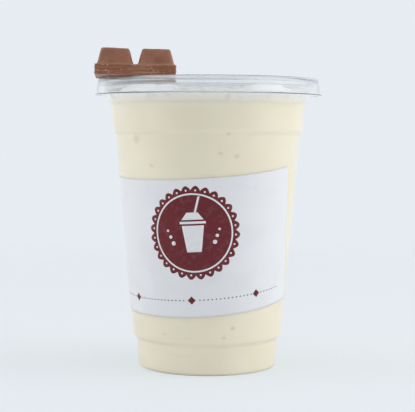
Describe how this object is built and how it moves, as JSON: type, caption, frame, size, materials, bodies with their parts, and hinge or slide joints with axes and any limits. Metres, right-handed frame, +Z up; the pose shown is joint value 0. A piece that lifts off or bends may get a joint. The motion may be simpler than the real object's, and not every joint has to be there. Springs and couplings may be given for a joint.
{
  "type": "milkshake",
  "caption": "Pale vanilla milkshake in a clear plastic takeaway cup with a push-on flat lid, a wrap sticker and a piece of segmented chocolate lying on the lid.",
  "frame": {"origin": "middle of the foot, on the surface the cup stands on", "axes": "+Z up along the cup's axis, -Y towards the front, where the sticker's print faces"},
  "size_m": [0.0976, 0.0976, 0.1355],
  "materials": {
    "clear_cup": "clear gloss",
    "clear_lid": "clear gloss",
    "milkshake": "smooth, faintly glossy",
    "froth": "fine foam",
    "sticker": "satin printed film",
    "chocolate": "satin"
  },
  "bodies": {
    "root": {"cup": "clear_cup", "lid": "clear_lid", "milkshake": "milkshake", "froth": "froth", "label": "sticker", "chocolate": "chocolate"}
  },
  "joints": []
}
